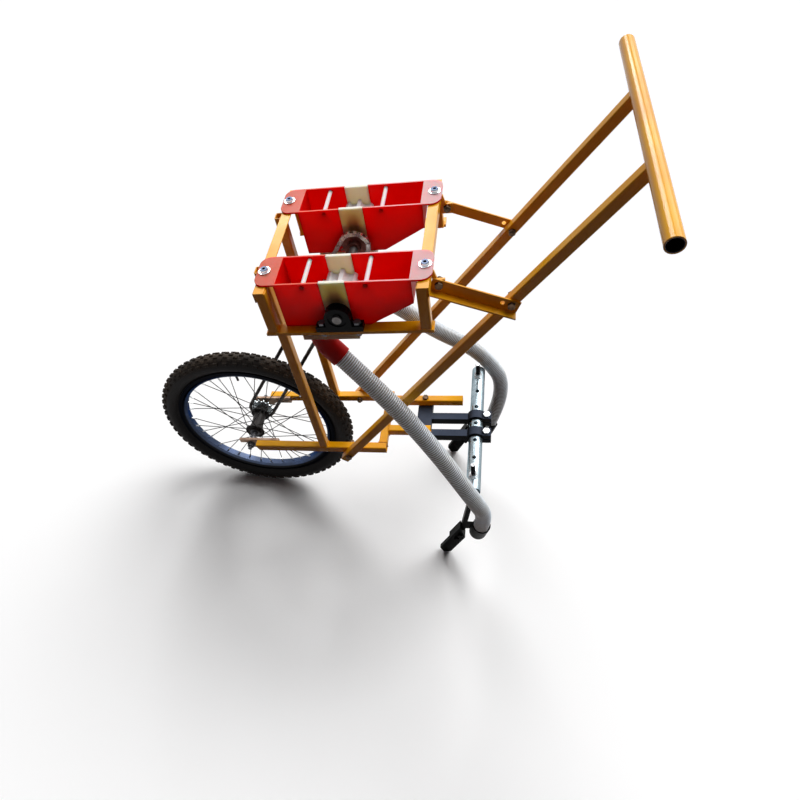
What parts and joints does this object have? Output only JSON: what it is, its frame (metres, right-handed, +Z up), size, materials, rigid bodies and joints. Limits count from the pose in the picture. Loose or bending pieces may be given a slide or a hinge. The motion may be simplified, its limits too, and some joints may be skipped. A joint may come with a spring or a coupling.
{
  "type": "walk-behind seed planter",
  "caption": "Walk-behind seed planter: spoked front wheel chain-drives a metering shaft under red hoppers; ribbed hoses feed chisel openers on a toolbar behind.",
  "frame": {"origin": "on the ground under the middle of the overall box, standing on the wheel and both chisel tips", "axes": "+X forward towards the wheel, +Y to the operator's left along the axle, +Z up"},
  "size_m": [0.9664, 0.57, 1.1642],
  "materials": {
    "frame_yellow": "satin golden-yellow paint",
    "black_paint": "semi-gloss black paint",
    "galvanised": "galvanised steel",
    "zinc": "zinc-plated steel",
    "dark_steel": "oiled dark steel",
    "bright_steel": "machined steel",
    "tyre": "dusty black rubber",
    "inner_rubber": "butyl rubber",
    "alloy": "anodised silver",
    "hub_black": "black anodised",
    "hopper_red": "matt red plastic",
    "housing_cream": "matt cream plastic",
    "white_plastic": "matt white plastic",
    "hose_grey": "clear grey ribbed plastic",
    "bearing_black": "black enamel"
  },
  "bodies": {
    "frame": {"left_rail": "frame_yellow", "right_rail": "frame_yellow", "axle_dropouts": "frame_yellow", "rear_crossmember": "frame_yellow", "left_hitch_tube": "frame_yellow", "right_hitch_tube": "frame_yellow", "left_upright": "frame_yellow", "right_upright": "frame_yellow", "front_top_bar": "frame_yellow", "rear_top_bar": "frame_yellow", "hopper_posts": "frame_yellow", "left_shelf_bar": "frame_yellow", "right_shelf_bar": "frame_yellow", "left_handle": "frame_yellow", "right_handle": "frame_yellow", "handlebar": "frame_yellow", "left_brace": "frame_yellow", "right_brace": "frame_yellow", "brace_lugs": "frame_yellow", "hitch_bracket": "black_paint", "opener_studs": "black_paint", "left_opener_leg": "black_paint", "right_opener_leg": "black_paint", "chisel_points": "black_paint", "left_boot": "black_paint", "right_boot": "black_paint", "chisel_bolts": "black_paint", "toolbar": "galvanised", "frame_bolts": "zinc", "clamp_bolts": "zinc", "hopper_screws": "zinc", "pillow_bolts": "zinc", "axle_nuts": "zinc", "drive_chain": "dark_steel", "axle": "bright_steel", "shaft_bearings": "bright_steel", "left_hopper": "hopper_red", "right_hopper": "hopper_red", "left_spout": "hopper_red", "right_spout": "hopper_red", "left_metering_housing": "housing_cream", "right_metering_housing": "housing_cream", "tie_rods": "white_plastic", "left_hose": "hose_grey", "right_hose": "hose_grey", "pillow_blocks": "bearing_black"},
    "wheel": {"tyre": "tyre", "inner_tube": "inner_rubber", "rim": "alloy", "spokes": "dark_steel", "spoke_nipples": "bright_steel", "hub_shell": "hub_black", "hub_bearings": "bright_steel", "freewheel_sprocket": "bright_steel"},
    "metering": {"metering_shaft": "bright_steel", "shaft_sprocket": "bright_steel", "shaft_collars": "black_paint", "left_metering_wheel": "white_plastic", "right_metering_wheel": "white_plastic"}
  },
  "joints": [
    {"name": "wheel_spin", "type": "hinge", "parent": "frame", "child": "wheel", "pos_m": [0.22325, 0, 0.26], "axis": [0, 1, 0], "continuous": true, "deforming": ["drive_chain"]},
    {"name": "metering_spin", "type": "hinge", "parent": "frame", "child": "metering", "pos_m": [-0.02574, 0, 0.83722], "axis": [0, 1, 0], "continuous": true, "deforming": ["drive_chain"]}
  ],
  "couplings": [
    {"joint": "metering_spin", "follows": "wheel_spin", "ratio": 1.1429}
  ]
}
